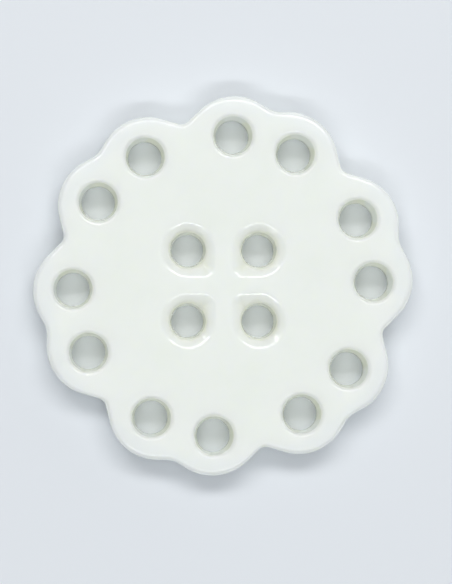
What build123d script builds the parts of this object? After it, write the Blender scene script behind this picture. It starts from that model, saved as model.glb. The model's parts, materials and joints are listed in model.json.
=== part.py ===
from build123d import *
import math
import os

# A four-hole sewing button with a scalloped rim. Millimetres. The origin is at the middle of the flat
# back, +Z points out of the face, and X and Y run along the sides of the square of sewing holes.

# Body: the face is flat and rolls off to the rim
OVERALL_DIAMETER = 28.6
THICKNESS = 2.8
FLAT_RADIUS = 12.7
CROWN_DROP = 0.15
RIM_ROUNDING = 0.36
BACK_ROUNDING = 0.4

# Scalloped outline: six pairs of lobes, with a shallow notch inside a pair and a deep one between pairs
PAIRS = 6
PAIR_AXIS_ANGLE = 13.9
LOBE_RADIUS = 3.71
LOBE_HALF_ANGLE = 11.6
SHALLOW_NOTCH_DEPTH = 0.6
SHALLOW_NOTCH_RADIUS = 1.9
DEEP_NOTCH_DEPTH = 1.79
DEEP_NOTCH_RADIUS = 0.75

# Decorative holes, one in each lobe: a straight bore at the back that opens in a cone towards the face
RIM_BORE_RADIUS = 1.25
RIM_MOUTH_RADIUS = 1.49
RIM_MOUTH_ROUNDING = 0.32
RIM_HOLE_PITCH_RADIUS = 11.3
RIM_HOLE_HALF_ANGLE = 12.5

# Sewing holes, shaped alike
SEWING_BORE_RADIUS = 1.2
SEWING_MOUTH_RADIUS = 1.38
SEWING_MOUTH_ROUNDING = 0.45
SEWING_HOLE_PITCH = 5.34

# Thread recess round each sewing hole: a teardrop funnel of one slope, which the hole's mouth cuts off
RECESS_RADIUS = 2.06
RECESS_SLOPE = 22
RECESS_TIP_ROUNDING = 0.9
RECESS_EDGE_ROUNDING = 0.75
RECESS_CUT_DEPTH = 0.6

BORE_HEIGHT = 1.0
BACK_HOLE_ROUNDING = 0.2

PAIR_ANGLE = 360 / PAIRS
OUTER_RADIUS = OVERALL_DIAMETER / 2
LOBE_CENTRE_RADIUS = OUTER_RADIUS - LOBE_RADIUS

# A margin for finding edges by where they lie, and how far a cutter reaches past what it cuts
CLOSE = 0.02
OVERSIZE = 0.3


def polar(radius, degrees):
    """A point in the plane of the back, from its distance to the centre and its angle."""
    angle = math.radians(degrees)
    return Vector(radius * math.cos(angle), radius * math.sin(angle))


def notch(axis_angle, half_angle, depth, radius):
    """The rounded valley between the lobes at axis_angle -/+ half_angle, with a straight flank on each side.

    Its four points are where it leaves the first lobe, where its own arc starts and ends,
    and where it meets the second lobe. The arc's lowest point is returned apart.
    """
    bottom = OUTER_RADIUS - depth
    centre = polar(bottom + radius, axis_angle)
    points = []
    for side in (-1, 1):
        lobe = polar(LOBE_CENTRE_RADIUS, axis_angle + side * half_angle)
        across = centre - lobe
        lean = math.degrees(math.acos((LOBE_RADIUS + radius) / across.length))
        outward = across.normalized().rotate(Axis.Z, side * lean)
        pair = [lobe + outward * LOBE_RADIUS, centre - outward * radius]
        points += pair if side < 0 else pair[::-1]
    return points, polar(bottom, axis_angle)


def outline():
    """The scalloped edge as one closed face: lobe arcs joined by the notches between them."""
    valleys = []
    for k in range(PAIRS):
        axis = PAIR_AXIS_ANGLE + k * PAIR_ANGLE
        valleys.append((axis, LOBE_HALF_ANGLE, SHALLOW_NOTCH_DEPTH, SHALLOW_NOTCH_RADIUS))
        half_gap = PAIR_ANGLE / 2 - LOBE_HALF_ANGLE
        valleys.append((axis + PAIR_ANGLE / 2, half_gap, DEEP_NOTCH_DEPTH, DEEP_NOTCH_RADIUS))

    notches = [notch(*valley) for valley in valleys]
    edges = []
    for k, (points, bottom) in enumerate(notches):
        edges.append(Line(points[0], points[1]))
        edges.append(ThreePointArc(points[1], bottom, points[2]))
        edges.append(Line(points[2], points[3]))
        lobe_tip = polar(OUTER_RADIUS, valleys[k][0] + valleys[k][1])
        next_points = notches[(k + 1) % len(notches)][0]
        edges.append(ThreePointArc(points[3], lobe_tip, next_points[0]))
    return make_face(Wire(edges))


def crowned_envelope():
    """The space under the face: flat in the middle, then falling away in a long arc to the rim."""
    run = OUTER_RADIUS - FLAT_RADIUS
    arc_radius = (run**2 + CROWN_DROP**2) / (2 * CROWN_DROP)
    reach = OUTER_RADIUS + OVERSIZE
    sweep = math.degrees(math.asin((reach - FLAT_RADIUS) / arc_radius))
    flat = Line((0, 0), (0, THICKNESS)) + Line((0, THICKNESS), (FLAT_RADIUS, THICKNESS))
    fall = CenterArc((FLAT_RADIUS, THICKNESS - arc_radius), arc_radius, 90 - sweep, sweep)
    end = fall @ 0
    base = Line(end, (reach, 0)) + Line((reach, 0), (0, 0))
    profile = make_face(flat + fall + base)
    return revolve(Plane.XZ * profile, Axis.Z)


def rim_hole_centres():
    """The middle of each decorative hole."""
    centres = []
    for k in range(PAIRS):
        for side in (-1, 1):
            angle = PAIR_AXIS_ANGLE + k * PAIR_ANGLE + side * RIM_HOLE_HALF_ANGLE
            centres.append(polar(RIM_HOLE_PITCH_RADIUS, angle))
    return centres


def sewing_hole_centres():
    """The middle of each sewing hole, one in each quadrant."""
    half = SEWING_HOLE_PITCH / 2
    return [Vector(x * half, y * half) for x in (-1, 1) for y in (-1, 1)]


def recess(centre):
    """The cutter for one thread recess: a teardrop whose walls slope in as it goes down.

    The teardrop is a circle round the hole with a square corner, rounded at its tip, that is aimed
    at the middle of the button. It starts above the face, so it is wider there by the slope.
    """
    spread = OVERSIZE / math.tan(math.radians(RECESS_SLOPE))
    radius = RECESS_RADIUS + spread
    tip = Vector(-math.copysign(radius, centre.X), -math.copysign(radius, centre.Y))
    corner = Pos(tip.X / 2, tip.Y / 2) * Rectangle(radius, radius)
    shape = Circle(radius) + corner
    shape = fillet(shape.vertices().sort_by_distance(tip)[0], RECESS_TIP_ROUNDING + spread)
    cutter = extrude(shape, -(OVERSIZE + RECESS_CUT_DEPTH), taper=90 - RECESS_SLOPE)
    return Pos(centre.X, centre.Y, THICKNESS + OVERSIZE) * cutter


def hole_cutter(bore_radius, mouth_radius):
    """A straight bore at the back, then a cone that opens to mouth_radius at the face and on past it."""
    opening = (mouth_radius - bore_radius) / (THICKNESS - BORE_HEIGHT)
    above = THICKNESS + OVERSIZE
    wide = bore_radius + opening * (above - BORE_HEIGHT)
    corners = [
        (0, -OVERSIZE),
        (bore_radius, -OVERSIZE),
        (bore_radius, BORE_HEIGHT),
        (wide, above),
        (0, above),
    ]
    profile = make_face(Polyline(*corners, close=True))
    return revolve(Plane.XZ * profile, Axis.Z)


def drilled(body, centres, bore_radius, mouth_radius):
    """The body with a hole through it at each of centres."""
    cutter = hole_cutter(bore_radius, mouth_radius)
    for centre in centres:
        body -= Pos(centre.X, centre.Y, 0) * cutter
    return body


def edges_near(body, centres, radius, low, high):
    """The edges that lie wholly within radius of one of centres, between the heights low and high."""
    found = []
    for edge in body.edges():
        points = [edge @ share for share in (0, 0.25, 0.5, 0.75, 1)]
        level = all(low < point.Z < high for point in points)
        near = any(
            all(math.hypot(point.X - centre.X, point.Y - centre.Y) < radius for point in points)
            for centre in centres
        )
        if level and near:
            found.append(edge)
    return found


def blank():
    """The scalloped, crowned disc with its edges rounded, before any hole."""
    disc = extrude(outline(), THICKNESS)
    disc = fillet(disc.faces().sort_by(Axis.Z)[0].edges(), BACK_ROUNDING)
    disc = disc & crowned_envelope()
    rim = [
        edge
        for edge in disc.edges()
        if edge.center().Z > THICKNESS - 2 * CROWN_DROP
        and math.hypot(edge.center().X, edge.center().Y) > FLAT_RADIUS + OVERSIZE
    ]
    return fillet(rim, RIM_ROUNDING)


def with_recesses(body):
    """The body with the four thread recesses sunk in its face."""
    centres = sewing_hole_centres()
    for centre in centres:
        body -= recess(centre)
    tip_reach = RECESS_RADIUS * math.sqrt(2)
    rims = edges_near(body, centres, tip_reach, THICKNESS - CLOSE, THICKNESS + CLOSE)
    return fillet(rims, RECESS_EDGE_ROUNDING)


def button_body():
    """The whole button, moulded in one piece."""
    body = with_recesses(blank())
    sewing = sewing_hole_centres()
    rim = rim_hole_centres()
    low = BORE_HEIGHT + CLOSE
    high = THICKNESS + CLOSE
    body = drilled(body, sewing, SEWING_BORE_RADIUS, SEWING_MOUTH_RADIUS)
    mouths = edges_near(body, sewing, SEWING_MOUTH_RADIUS + CLOSE, low, high)
    body = fillet(mouths, SEWING_MOUTH_ROUNDING)
    body = drilled(body, rim, RIM_BORE_RADIUS, RIM_MOUTH_RADIUS)
    mouths = edges_near(body, rim, RIM_MOUTH_RADIUS + CLOSE, low, high)
    body = fillet(mouths, RIM_MOUTH_ROUNDING)
    back = edges_near(body, sewing + rim, RIM_BORE_RADIUS + CLOSE, -CLOSE, CLOSE)
    return fillet(back, BACK_HOLE_ROUNDING)


def main():
    os.makedirs("parts", exist_ok=True)
    export_step(button_body(), "parts/button_body.step")


main()
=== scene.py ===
import json
import math

import bmesh
import bpy
import numpy as np
from mathutils import Matrix, Vector
from mathutils.geometry import delaunay_2d_cdt


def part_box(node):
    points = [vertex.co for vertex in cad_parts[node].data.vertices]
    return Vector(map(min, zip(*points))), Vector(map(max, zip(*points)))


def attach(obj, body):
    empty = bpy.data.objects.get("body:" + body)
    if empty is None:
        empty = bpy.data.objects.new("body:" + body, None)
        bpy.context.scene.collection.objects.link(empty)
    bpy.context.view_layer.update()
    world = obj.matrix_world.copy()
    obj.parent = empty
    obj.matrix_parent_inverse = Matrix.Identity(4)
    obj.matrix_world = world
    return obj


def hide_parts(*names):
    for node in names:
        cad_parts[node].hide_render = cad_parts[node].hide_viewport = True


# A white plastic sewing button on a pale floor. The button's shape is worked out in millimetres, in a plan
# of its face and heights above its back. The camera, the lamps and the materials are in metres.
MM = 0.001

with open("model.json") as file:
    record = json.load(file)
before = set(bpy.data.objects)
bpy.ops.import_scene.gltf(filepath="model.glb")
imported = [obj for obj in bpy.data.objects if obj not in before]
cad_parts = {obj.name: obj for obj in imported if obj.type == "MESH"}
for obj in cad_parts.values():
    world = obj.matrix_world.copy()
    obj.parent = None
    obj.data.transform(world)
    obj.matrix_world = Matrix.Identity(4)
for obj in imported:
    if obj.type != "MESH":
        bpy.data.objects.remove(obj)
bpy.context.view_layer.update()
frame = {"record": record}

FACE_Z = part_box("button_body")[1].z
THICKNESS = FACE_Z / MM
BORES = {mount["name"]: mount for mount in frame["record"]["mounts"] if mount["kind"] == "bore"}

# Scalloped outline, as in the CAD part: pairs of lobes, with a shallow notch inside a pair and a deep one
# between pairs
OUTER_RADIUS = 14.3
PAIRS = 6
PAIR_AXIS = math.radians(13.9)
LOBE_RADIUS = 3.71
LOBE_HALF_ANGLE = math.radians(11.6)
SHALLOW_NOTCH_DEPTH = 0.6
SHALLOW_NOTCH_RADIUS = 1.9
DEEP_NOTCH_DEPTH = 1.79
DEEP_NOTCH_RADIUS = 0.75

# Section, as in the CAD part: the crowned face, the rounded edges, and the holes with their thread recesses
FLAT_RADIUS = 12.7
CROWN_DROP = 0.15
RIM_ROUNDING = 0.36
BACK_ROUNDING = 0.4
BORE_HEIGHT = 1.0
BACK_HOLE_ROUNDING = 0.2
RIM_MOUTH_RADIUS = 1.49
RIM_MOUTH_ROUNDING = 0.32
SEWING_MOUTH_RADIUS = 1.38
SEWING_MOUTH_ROUNDING = 0.45
RECESS_RADIUS = 2.06
RECESS_TIP_ROUNDING = 0.9
RECESS_SLOPE = math.radians(22)
RECESS_EDGE_ROUNDING = 0.75
SEWING_HALF_PITCH = abs(BORES["sewing_hole_1"]["pos_m"][0]) / MM

# How far the rounded edge of a recess reaches to each side of the recess's outline
RECESS_HALF_EDGE = RECESS_EDGE_ROUNDING * math.tan(RECESS_SLOPE / 2)

# Mesh: the spacing of points along the outline and over the open face, the steps in each stretch of a wall,
# and the points round a hole
OUTLINE_STEP = 0.12
FACE_STEP = 0.45
ROUNDING_STEPS = 9
WALL_STEPS = 5
BORE_STEPS = 2
BACK_STEPS = 6
HOLE_POINTS = 96
RECESS_POINTS = 144

# The strip of open face that borders each rounding, so that the rounding's shading ends there
SEAM = 0.05

# Camera: nearly straight above the face, a little towards -X and -Y. Only its sensor is in millimetres.
CAMERA_AIM = (0.17 * MM, -0.50 * MM, FACE_Z)
CAMERA_OFFSET = (-10.3 * MM, -5.9 * MM, 220 * MM)
PICTURE_HEIGHT = 43.8 * MM
SENSOR_SIZE = 36
NEAREST = 0.01
FARTHEST = 10

# Light: the colours of the lamps, and a weak light from all round
NEUTRAL = (1.0, 1.0, 1.0)
WARM = (1.0, 1.0, 0.99)
COOL = (0.97, 0.99, 1.0)
AMBIENT_COLOUR = (0.93, 0.97, 1.0)
AMBIENT_STRENGTH = 0.24

FLOOR_COLOUR = (0.77, 0.80, 0.84)
FLOOR_ROUGHNESS = 0.9
FLOOR_HALF_WIDTH = 0.5

# Plastic: its colour, and how far light gets in it, with each colour's share of that
PLASTIC_COLOUR = (0.875, 0.91, 0.865)
PLASTIC_IOR = 1.56
SCATTER_DEPTH = 2.0 * MM
SCATTER_SHARES = (1.0, 1.0, 0.9)

# Tints that multiply the plastic's colour: in faint random clouds, a painted shade that yellows it down in
# the recesses and holes, and a painted reflection that cools it at the rim.
# The painted shade fades out short of the deepest notches, so that the outer wall keeps its own colour.
CLOUD_TINT = (0.985, 0.99, 0.98)
CLOUD_SIZE = 3.0 * MM
# Painted shade: a yellow tint that grows with depth, standing in for the shade down in the recesses and holes
SUNK_SHADE_TINT = (1.0, 0.985, 0.91)
SUNK_SHADE_DEPTH = 0.5 * MM
SUNK_SHADE_END = (12.3 * MM, 12.5 * MM)
# Painted reflection: a cooler tint towards the rim, standing in for the bluish surroundings reflected there
RIM_REFLECTION_TINT = (0.98, 0.99, 1.005)
RIM_REFLECTION_START = (12.5 * MM, 13.4 * MM)

# Polish: its average roughness, its least, what wear and fine rubbing marks add, and faint ripples. The
# marks run along Y.
AVERAGE_ROUGHNESS = 0.12
LEAST_ROUGHNESS = 0.10
WEAR_ROUGHNESS = 0.05
WEAR_SIZE = 1.2 * MM
MARK_ROUGHNESS = 0.03
MARK_WIDTH = 0.25 * MM
MARK_STRETCH = (1, 0.06, 1)
RIPPLE_SIZE = 2.2 * MM
RIPPLE_HEIGHT = 0.004 * MM


def facing(angle):
    """Unit vectors in the plan, one row for each angle."""
    return np.stack([np.cos(angle), np.sin(angle)], axis=-1)


def all_round(count):
    """Unit vectors in the plan, evenly spaced over a whole turn."""
    return facing(np.arange(count) * math.tau / count)


def at_height(plan, height):
    """Points in space from points of the plan and one height, or one for each."""
    return np.column_stack([plan, np.broadcast_to(height, len(plan))])


# ---- outline ----


def valley(axis, half_angle, depth, radius):
    """The notch between the lobes at axis -/+ half_angle.

    Returns its centre and radius, the ways that the edge faces where it starts and ends,
    and the centre of the lobe after it.
    """
    notch_centre = facing(axis) * (OUTER_RADIUS - depth + radius)
    lobe_centre = facing(axis + half_angle) * (OUTER_RADIUS - LOBE_RADIUS)
    # The lean is the angle between the line through both centres and the way that the straight flank faces
    across = notch_centre - lobe_centre
    lean = math.acos((LOBE_RADIUS + radius) / np.linalg.norm(across))
    turn = math.remainder(axis - math.atan2(across[1], across[0]) - lean, math.tau)
    return notch_centre, radius, axis + turn, axis - turn, lobe_centre


def outline_arcs():
    """Each notch and lobe in turn: centre, radius, and the first and last way it faces.

    A notch is hollow, so its radius is negative.
    """
    valleys = []
    pair_angle = math.tau / PAIRS
    deep_half_angle = pair_angle / 2 - LOBE_HALF_ANGLE
    for k in range(PAIRS):
        axis = PAIR_AXIS + k * pair_angle
        valleys.append(valley(axis, LOBE_HALF_ANGLE, SHALLOW_NOTCH_DEPTH, SHALLOW_NOTCH_RADIUS))
        deep_axis = axis + pair_angle / 2
        valleys.append(valley(deep_axis, deep_half_angle, DEEP_NOTCH_DEPTH, DEEP_NOTCH_RADIUS))

    arcs = []
    for here, ahead in zip(valleys, valleys[1:] + valleys[:1]):
        notch_centre, radius, first, last, lobe_centre = here
        lobe_end = ahead[2]
        arcs.append((notch_centre, -radius, first, last))
        arcs.append((lobe_centre, LOBE_RADIUS, last, last + (lobe_end - last) % math.tau))
    return arcs


def bridge_flank(points, normals, end, way):
    """Adds the points of the straight flank from the last arc to end."""
    start = points[-1][-1]
    count = math.ceil(np.linalg.norm(end - start) / OUTLINE_STEP) - 1
    share = np.linspace(0, 1, count + 2)[1:-1, None]
    points.append(start + share * (end - start))
    normals.append(np.tile(way, (count, 1)))


def outline():
    """Points along the scalloped edge, and the direction that each one faces."""
    points = []
    normals = []
    for centre, radius, first, last in outline_arcs():
        count = math.ceil(abs(radius * (last - first)) / OUTLINE_STEP) + 1
        ways = facing(np.linspace(first, last, count))
        arc = centre + radius * ways
        if points:
            bridge_flank(points, normals, arc[0], ways[0])
        points.append(arc)
        normals.append(ways)
    bridge_flank(points, normals, points[0][0], normals[0][0])
    return np.concatenate(points), np.concatenate(normals)


# ---- face ----


def crown_drop(radius):
    """How far the face has rolled off at this distance from the middle."""
    run = OUTER_RADIUS - FLAT_RADIUS
    arc_radius = (run**2 + CROWN_DROP**2) / (2 * CROWN_DROP)
    past = np.clip(radius - FLAT_RADIUS, 0, None)
    return arc_radius - np.sqrt(arc_radius**2 - past**2)


def outside_recess(plan):
    """How far points of the plan are outside the nearest recess's outline, and less than 0 inside it.

    The outline is a circle round the sewing hole with a square corner, rounded at its tip, that is
    aimed at the middle of the button.
    """
    # All four recesses fold onto one, where inward is the way from the hole towards the button's middle
    inward = SEWING_HALF_PITCH - np.abs(plan)
    corner = inward - (RECESS_RADIUS - RECESS_TIP_ROUNDING)
    past_corner = np.linalg.norm(np.clip(corner, 0, None), axis=1)
    square = past_corner + np.clip(corner.max(axis=1), None, 0) - RECESS_TIP_ROUNDING
    circle = np.linalg.norm(inward, axis=1) - RECESS_RADIUS
    return np.where(inward.min(axis=1) > 0, square, circle)


def recess_depth(plan):
    """The depth of a funnel of one slope, with a rounded edge."""
    inside = np.clip(RECESS_HALF_EDGE - outside_recess(plan), 0, None)
    on_edge = inside**2 / (4 * RECESS_HALF_EDGE)
    below_edge = inside - RECESS_HALF_EDGE
    return math.tan(RECESS_SLOPE) * np.where(inside < 2 * RECESS_HALF_EDGE, on_edge, below_edge)


def face_height(plan):
    """The height of the face, before the rim and the holes are rounded into it."""
    return THICKNESS - crown_drop(np.linalg.norm(plan, axis=1)) - recess_depth(plan)


# ---- rings round the rim and down the holes ----


def rings_between(first, last, steps):
    """The rings that lead from first to last in even steps: last is one of them and first isn't."""
    return [first * (1 - share) + last * share for share in np.linspace(0, 1, steps + 1)[1:]]


def rings_onto_back(wall, normals, rounding):
    """Rings that round the foot of a wall, which faces along normals, onto the back."""
    rings = []
    for turn in np.linspace(0, math.pi / 2, BACK_STEPS + 1)[1:]:
        inset = rounding * (1 - math.cos(turn))
        height = rounding * (1 - math.sin(turn))
        rings.append(at_height(wall - normals * inset, height))
    return rings


def rim_rings():
    """Rings round the outer edge, from the open face down to the back."""
    points, normals = outline()
    steps = [(RIM_ROUNDING + SEAM, 0)]
    for turn in np.linspace(0, math.pi / 2, ROUNDING_STEPS + 1):
        steps.append((RIM_ROUNDING * (1 - math.sin(turn)), RIM_ROUNDING * (1 - math.cos(turn))))
    rings = []
    for inset, drop in steps:
        plan = points - normals * inset
        rings.append(at_height(plan, face_height(plan) - drop))
    rings += rings_between(rings[-1], at_height(points, BACK_ROUNDING), WALL_STEPS)
    return rings + rings_onto_back(points, normals, BACK_ROUNDING)


def hole_rings(centre, bore_radius, mouth_radius, rounding, ways):
    """Rings down a hole, from its lip on the face, through the cone and the bore, to the back.

    In each direction the lip is an arc that touches both the face, which slopes in a recess, and the cone.
    """
    opening = math.atan((mouth_radius - bore_radius) / (THICKNESS - BORE_HEIGHT))
    corner = np.full(len(ways), mouth_radius)
    rounds_to_settle = 4
    for _ in range(rounds_to_settle):
        level = face_height(centre + corner[:, None] * ways)
        corner = bore_radius + (level - BORE_HEIGHT) * math.tan(opening)
    ahead = face_height(centre + (corner + SEAM)[:, None] * ways)
    slope = np.arctan((ahead - level) / SEAM)
    sweep = math.pi / 2 - opening - slope
    reach = rounding * np.tan(sweep / 2)
    arc_radius = corner + reach * np.cos(slope) + rounding * np.sin(slope)
    arc_height = level + reach * np.sin(slope) - rounding * np.cos(slope)
    rings = []
    for share in np.linspace(0, 1, ROUNDING_STEPS + 1):
        turn = slope + share * sweep
        plan = centre + (arc_radius - rounding * np.sin(turn))[:, None] * ways
        rings.append(at_height(plan, arc_height + rounding * np.cos(turn)))
    wall = centre + bore_radius * ways
    cone_foot = at_height(wall, BORE_HEIGHT)
    bore_foot = at_height(wall, BACK_HOLE_ROUNDING)
    rings += rings_between(rings[-1], cone_foot, WALL_STEPS)
    rings += rings_between(cone_foot, bore_foot, BORE_STEPS)
    return rings + rings_onto_back(wall, -ways, BACK_HOLE_ROUNDING)


def teardrop_reach(inward_ways, offset):
    """How far the recess's outline, moved out by offset, is from the sewing hole in each direction."""
    # A line from the hole leaves the square corner either through a straight side or through its rounded tip
    corner = RECESS_RADIUS - RECESS_TIP_ROUNDING
    along = inward_ways.sum(axis=1) * corner
    inside_root = along**2 - 2 * corner**2 + (RECESS_TIP_ROUNDING + offset) ** 2
    tip = along + np.sqrt(np.clip(inside_root, 0, None))
    # The larger part of an inward direction is at least 0.7, so this changes only directions that aren't used
    least_part = 0.5
    side = (RECESS_RADIUS + offset) / np.maximum(inward_ways.max(axis=1), least_part)
    on_side = inward_ways.min(axis=1) * side < corner
    square = np.where(on_side, side, tip)
    return np.where(inward_ways.min(axis=1) > 0, square, RECESS_RADIUS + offset)


def recess_rings(centre, lip, ways):
    """Rings from the open face over the edge of a thread recess and down towards its hole's lip."""
    inward_ways = -np.sign(centre) * ways
    edge = np.linspace(RECESS_HALF_EDGE, -RECESS_HALF_EDGE, ROUNDING_STEPS + 1)
    offsets = [RECESS_HALF_EDGE + SEAM, *edge]
    plans = [centre + teardrop_reach(inward_ways, offset)[:, None] * ways for offset in offsets]
    plans += rings_between(plans[-1], lip[:, :2], WALL_STEPS + 1)[:-1]
    return [at_height(plan, face_height(plan)) for plan in plans]


def sewing_hole(centre, bore_radius):
    """Rings from the open face down through a thread recess and its hole to the back."""
    ways = all_round(RECESS_POINTS)
    rings = hole_rings(centre, bore_radius, SEWING_MOUTH_RADIUS, SEWING_MOUTH_ROUNDING, ways)
    return recess_rings(centre, rings[0], ways) + rings


def rim_hole(centre, bore_radius):
    """Rings from the open face down through a decorative hole to the back."""
    ways = all_round(HOLE_POINTS)
    rings = hole_rings(centre, bore_radius, RIM_MOUTH_RADIUS, RIM_MOUTH_ROUNDING, ways)
    plan = rings[0][:, :2] + SEAM * ways
    return [at_height(plan, face_height(plan)), *rings]


# ---- mesh ----


class Skin:
    """Collects the points and faces of the button's surface."""

    def __init__(self):
        self.points = np.empty((0, 3))
        self.faces = []

    def add(self, points):
        """Adds points and returns their numbers."""
        first = len(self.points)
        self.points = np.concatenate([self.points, points])
        return np.arange(first, len(self.points))

    def tube(self, rings):
        """Joins each closed ring to the next with quads. Returns the numbers of the first and last ring."""
        numbers = [self.add(ring) for ring in rings]
        for here, ahead in zip(numbers, numbers[1:]):
            quads = np.column_stack([here, np.roll(here, -1), np.roll(ahead, -1), ahead])
            self.faces += quads.tolist()
        return numbers[0], numbers[-1]

    def sheet(self, loops, scattered, wanted):
        """Fills the plan between closed loops of numbered points, using the scattered points as well.

        Only triangles whose middle is wanted are kept, so that holes stay open.
        """
        numbers = np.concatenate([*loops, self.add(scattered)])
        edges = []
        first = 0
        for loop in loops:
            places = np.arange(first, first + len(loop))
            edges += np.column_stack([places, np.roll(places, -1)]).tolist()
            first += len(loop)
        plan = self.points[numbers, :2]
        inside_loops = 1
        closest = 1e-6
        result = delaunay_2d_cdt([Vector(p) for p in plan], edges, [], inside_loops, closest)
        _, _, corners, origins, _, _ = result
        sources = np.array([origin[0] for origin in origins])
        triangles = sources[np.array(corners)]
        kept = wanted(plan[triangles].mean(axis=1))
        self.faces += numbers[triangles[kept]].tolist()


def clear_of_rim(plan, edge, margin):
    """Which points of the plan are inside the closed line edge, by more than margin."""
    angle = np.arctan2(edge[:, 1], edge[:, 0])
    order = np.argsort(angle)
    reach = np.linalg.norm(edge, axis=1)[order]
    allowed = np.interp(np.arctan2(plan[:, 1], plan[:, 0]), angle[order], reach, period=math.tau)
    return np.linalg.norm(plan, axis=1) < allowed - margin


def clear_of_holes(plan, holes, margin):
    """Which points of the plan are outside all the holes, each a centre and a radius, by more than margin."""
    clear = np.full(len(plan), True)
    for centre, radius in holes:
        clear &= np.linalg.norm(plan - centre, axis=1) > radius + margin
    return clear


def scattered_plan(edge, is_open):
    """A triangular grid of points inside the closed line edge where is_open, with room to every loop."""
    rows = math.ceil(OUTER_RADIUS / FACE_STEP)
    columns, lines = np.meshgrid(np.arange(-rows, rows + 1), np.arange(-rows, rows + 1))
    x = (columns + (lines % 2) / 2) * FACE_STEP
    y = lines * FACE_STEP * math.sin(math.pi / 3)
    plan = np.column_stack([x.ravel(), y.ravel()])
    margin = FACE_STEP / 2
    return plan[clear_of_rim(plan, edge, margin) & is_open(plan, margin)]


def button_skin():
    """The surface of the whole button, with the shape of its CAD node but finer."""
    skin = Skin()
    rim_top, rim_back = skin.tube(rim_rings())
    top_loops = [rim_top]
    back_loops = [rim_back]
    top_holes = []
    back_holes = []
    for name, bore in BORES.items():
        centre = np.array(bore["pos_m"][:2]) / MM
        radius = bore["dims"]["r_mm"]
        if name.startswith("sewing"):
            rings = sewing_hole(centre, radius)
        else:
            rings = rim_hole(centre, radius)
            top_holes.append((centre, np.linalg.norm(rings[0][:, :2] - centre, axis=1).max()))
        top, back = skin.tube(rings)
        top_loops.append(top)
        back_loops.append(back)
        back_holes.append((centre, radius + BACK_HOLE_ROUNDING))

    def open_face(plan, margin=0):
        """Which points are outside every rim hole and thread recess on the face, by more than margin."""
        out_of_recesses = outside_recess(plan) > RECESS_HALF_EDGE + SEAM + margin
        return clear_of_holes(plan, top_holes, margin) & out_of_recesses

    def open_back(plan, margin=0):
        """Which points are outside every hole in the back, by more than margin."""
        return clear_of_holes(plan, back_holes, margin)

    top_plan = scattered_plan(skin.points[rim_top, :2], open_face)
    skin.sheet(top_loops, at_height(top_plan, face_height(top_plan)), open_face)
    back_plan = scattered_plan(skin.points[rim_back, :2], open_back)
    skin.sheet(back_loops, at_height(back_plan, 0), open_back)
    return skin


def button_mesh():
    """The button's surface as a smooth mesh that faces outwards."""
    skin = button_skin()
    mesh = bpy.data.meshes.new("button")
    mesh.from_pydata((skin.points * MM).tolist(), [], skin.faces)
    shape = bmesh.new()
    shape.from_mesh(mesh)
    bmesh.ops.recalc_face_normals(shape, faces=shape.faces)
    shape.to_mesh(mesh)
    shape.free()
    mesh.shade_smooth()
    return mesh


# ---- camera, light and floor ----


def make_camera():
    """A camera whose picture is PICTURE_HEIGHT high at the face.

    The picture is higher than it is wide, so the sensor's size counts along its height.
    """
    aim = Vector(CAMERA_AIM)
    place = aim + Vector(CAMERA_OFFSET)
    ahead = (aim - place).normalized()
    right = ahead.cross(Vector((0, 1, 0))).normalized()
    up = right.cross(ahead)
    turn = Matrix((right, up, -ahead)).transposed().to_4x4()
    data = bpy.data.cameras.new("camera")
    data.sensor_width = SENSOR_SIZE
    data.lens = SENSOR_SIZE * (aim - place).length / PICTURE_HEIGHT
    data.clip_start = NEAREST
    data.clip_end = FARTHEST
    camera = bpy.data.objects.new("camera", data)
    camera.matrix_world = Matrix.Translation(place) @ turn
    bpy.context.scene.collection.objects.link(camera)
    bpy.context.scene.camera = camera


def soft_light(name, azimuth, elevation, distance, size, power, colour):
    """A rectangular lamp aimed at the button, with its width and height in size and its power in watts.

    Azimuth 0 is towards +X, and 90 is towards +Y.
    """
    data = bpy.data.lights.new(name, "AREA")
    data.shape = "RECTANGLE"
    data.size, data.size_y = size
    data.energy = power
    data.color = colour
    around = math.radians(azimuth)
    above = math.radians(elevation)
    level = math.cos(above)
    away = Vector((math.cos(around) * level, math.sin(around) * level, math.sin(above)))
    lamp = bpy.data.objects.new(name, data)
    lamp.location = away * distance
    lamp.rotation_mode = "QUATERNION"
    lamp.rotation_quaternion = away.to_track_quat("Z", "Y")
    bpy.context.scene.collection.objects.link(lamp)


def make_lights():
    """A long lamp towards +Y, a weaker one towards -Y, a weak low one between +X and +Y, and one overhead."""
    soft_light(
        "top_light", azimuth=91, elevation=61, distance=0.35, size=(0.36, 0.08), power=0.64, colour=WARM
    )
    soft_light(
        "low_light", azimuth=45, elevation=22, distance=0.35, size=(0.8, 0.17), power=0.17, colour=WARM
    )
    soft_light(
        "bottom_light", azimuth=272, elevation=61, distance=0.35, size=(0.3, 0.04), power=0.335, colour=COOL
    )
    soft_light(
        "overhead_light", azimuth=0, elevation=90, distance=0.6, size=(0.55, 0.55), power=0.48, colour=NEUTRAL
    )
    world = bpy.data.worlds.new("studio")
    world.use_nodes = True
    background = world.node_tree.nodes["Background"]
    background.inputs["Color"].default_value = (*AMBIENT_COLOUR, 1)
    background.inputs["Strength"].default_value = AMBIENT_STRENGTH
    bpy.context.scene.world = world


def make_floor():
    """A plain pale floor at the height of the button's back."""
    half = FLOOR_HALF_WIDTH
    corners = [(-half, -half, 0), (half, -half, 0), (half, half, 0), (-half, half, 0)]
    mesh = bpy.data.meshes.new("floor")
    mesh.from_pydata(corners, [], [(0, 1, 2, 3)])
    floor = bpy.data.objects.new("floor", mesh)
    bpy.context.scene.collection.objects.link(floor)
    mesh.materials.append(new_material("pale_ground", FLOOR_COLOUR, FLOOR_ROUGHNESS))


# ---- materials ----


def new_material(name, colour, roughness):
    """A principled material."""
    material = bpy.data.materials.new(name)
    material.use_nodes = True
    shader = material.node_tree.nodes["Principled BSDF"]
    shader.inputs["Base Color"].default_value = (*colour, 1)
    shader.inputs["Roughness"].default_value = roughness
    return material


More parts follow.
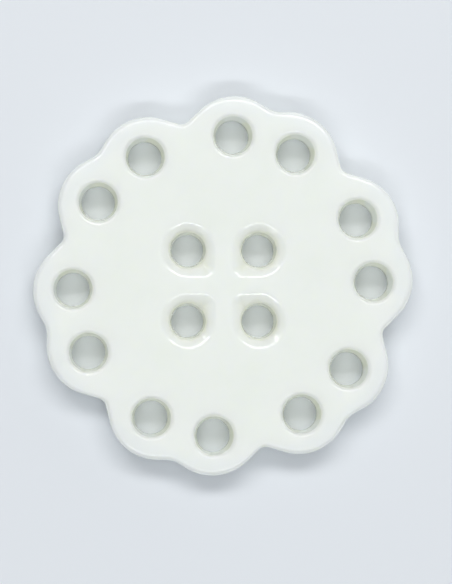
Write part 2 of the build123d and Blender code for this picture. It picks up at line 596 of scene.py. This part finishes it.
def math_node(tree, operation, first, second=0.0):
    """A maths node on two values, each a number or another node's output. Returns its output."""
    node = tree.nodes.new("ShaderNodeMath")
    node.operation = operation
    for socket, value in zip(node.inputs, (first, second)):
        if isinstance(value, bpy.types.NodeSocket):
            tree.links.new(value, socket)
        else:
            socket.default_value = value
    return node.outputs[0]


def ramp(tree, value, low, high):
    """0 where value is low and 1 where it is high, with a smooth step between them."""
    node = tree.nodes.new("ShaderNodeMapRange")
    node.interpolation_type = "SMOOTHSTEP"
    node.inputs["From Min"].default_value = low
    node.inputs["From Max"].default_value = high
    tree.links.new(value, node.inputs["Value"])
    return node.outputs["Result"]


def noise(tree, place, size, detail, stretch=(1, 1, 1)):
    """Noise from 0 to 1, in spots about size across. A spot is longer where stretch is less than 1."""
    mapping = tree.nodes.new("ShaderNodeMapping")
    mapping.inputs["Scale"].default_value = stretch
    tree.links.new(place, mapping.inputs["Vector"])
    node = tree.nodes.new("ShaderNodeTexNoise")
    node.inputs["Scale"].default_value = 1 / size
    node.inputs["Detail"].default_value = detail
    tree.links.new(mapping.outputs["Vector"], node.inputs["Vector"])
    return node.outputs["Fac"]


def tinted(tree, colour, tint, share):
    """The colour multiplied by the tint, as far as share says."""
    node = tree.nodes.new("ShaderNodeMix")
    node.data_type = "RGBA"
    node.blend_type = "MULTIPLY"
    tree.links.new(share, node.inputs["Factor"])
    tree.links.new(colour, node.inputs["A"])
    node.inputs["B"].default_value = (*tint, 1)
    return node.outputs["Result"]


def plastic_colour_with_painted_light(tree, place):
    """Off-white and slightly cloudy, with a painted yellow shade down in the recesses and holes and a painted
    cool reflection at the rim.
    """
    parts = tree.nodes.new("ShaderNodeSeparateXYZ")
    tree.links.new(place, parts.inputs[0])
    x, y, z = parts.outputs
    x_squared = math_node(tree, "MULTIPLY", x, x)
    y_squared = math_node(tree, "MULTIPLY", y, y)
    radius = math_node(tree, "SQRT", math_node(tree, "ADD", x_squared, y_squared))
    depth = math_node(tree, "SUBTRACT", FACE_Z, z)
    # Painted reflection: the cool tint comes in towards the rim
    rim_reflection = ramp(tree, radius, *RIM_REFLECTION_START)
    # Painted shade: the yellow tint deepens with depth, and fades out short of the deepest notches
    inside = math_node(tree, "SUBTRACT", 1.0, ramp(tree, radius, *SUNK_SHADE_END))
    sunk_shade = math_node(tree, "MULTIPLY", ramp(tree, depth, 0.0, SUNK_SHADE_DEPTH), inside)
    clouds = ramp(tree, noise(tree, place, CLOUD_SIZE, detail=3), low=0.35, high=0.75)

    base = tree.nodes.new("ShaderNodeRGB")
    base.outputs[0].default_value = (*PLASTIC_COLOUR, 1)
    colour = tinted(tree, base.outputs[0], CLOUD_TINT, clouds)
    colour = tinted(tree, colour, SUNK_SHADE_TINT, sunk_shade)
    return tinted(tree, colour, RIM_REFLECTION_TINT, rim_reflection)


def plastic_roughness(tree, place):
    """A polish that is duller where it is worn and along fine rubbing marks."""
    marks = ramp(tree, noise(tree, place, MARK_WIDTH, detail=2, stretch=MARK_STRETCH), low=0.55, high=0.8)
    wear = ramp(tree, noise(tree, place, WEAR_SIZE, detail=4), low=0.4, high=0.8)
    worn = math_node(tree, "ADD", LEAST_ROUGHNESS, math_node(tree, "MULTIPLY", wear, WEAR_ROUGHNESS))
    return math_node(tree, "ADD", worn, math_node(tree, "MULTIPLY", marks, MARK_ROUGHNESS))


def plastic_ripples(tree, place):
    """The surface's direction with faint ripples in it."""
    bump = tree.nodes.new("ShaderNodeBump")
    bump.inputs["Strength"].default_value = 1.0
    bump.inputs["Distance"].default_value = RIPPLE_HEIGHT
    tree.links.new(noise(tree, place, RIPPLE_SIZE, detail=1), bump.inputs["Height"])
    return bump.outputs["Normal"]


def make_plastic():
    """Glossy off-white moulded plastic that lets light in a little way."""
    material = new_material("white_plastic", PLASTIC_COLOUR, AVERAGE_ROUGHNESS)
    tree = material.node_tree
    shader = tree.nodes["Principled BSDF"]
    shader.inputs["IOR"].default_value = PLASTIC_IOR
    shader.inputs["Subsurface Weight"].default_value = 1.0
    shader.inputs["Subsurface Radius"].default_value = SCATTER_SHARES
    shader.inputs["Subsurface Scale"].default_value = SCATTER_DEPTH
    place = tree.nodes.new("ShaderNodeTexCoord").outputs["Object"]
    tree.links.new(plastic_colour_with_painted_light(tree, place), shader.inputs["Base Color"])
    tree.links.new(plastic_roughness(tree, place), shader.inputs["Roughness"])
    tree.links.new(plastic_ripples(tree, place), shader.inputs["Normal"])
    return material


def make_button():
    """The finer button that takes the place of the CAD mesh."""
    button = bpy.data.objects.new("button", button_mesh())
    bpy.context.scene.collection.objects.link(button)
    button.data.materials.append(make_plastic())
    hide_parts("button_body")
    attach(button, "root")


make_camera()
make_lights()
make_floor()
make_button()
bpy.context.scene.view_settings.view_transform = "Standard"
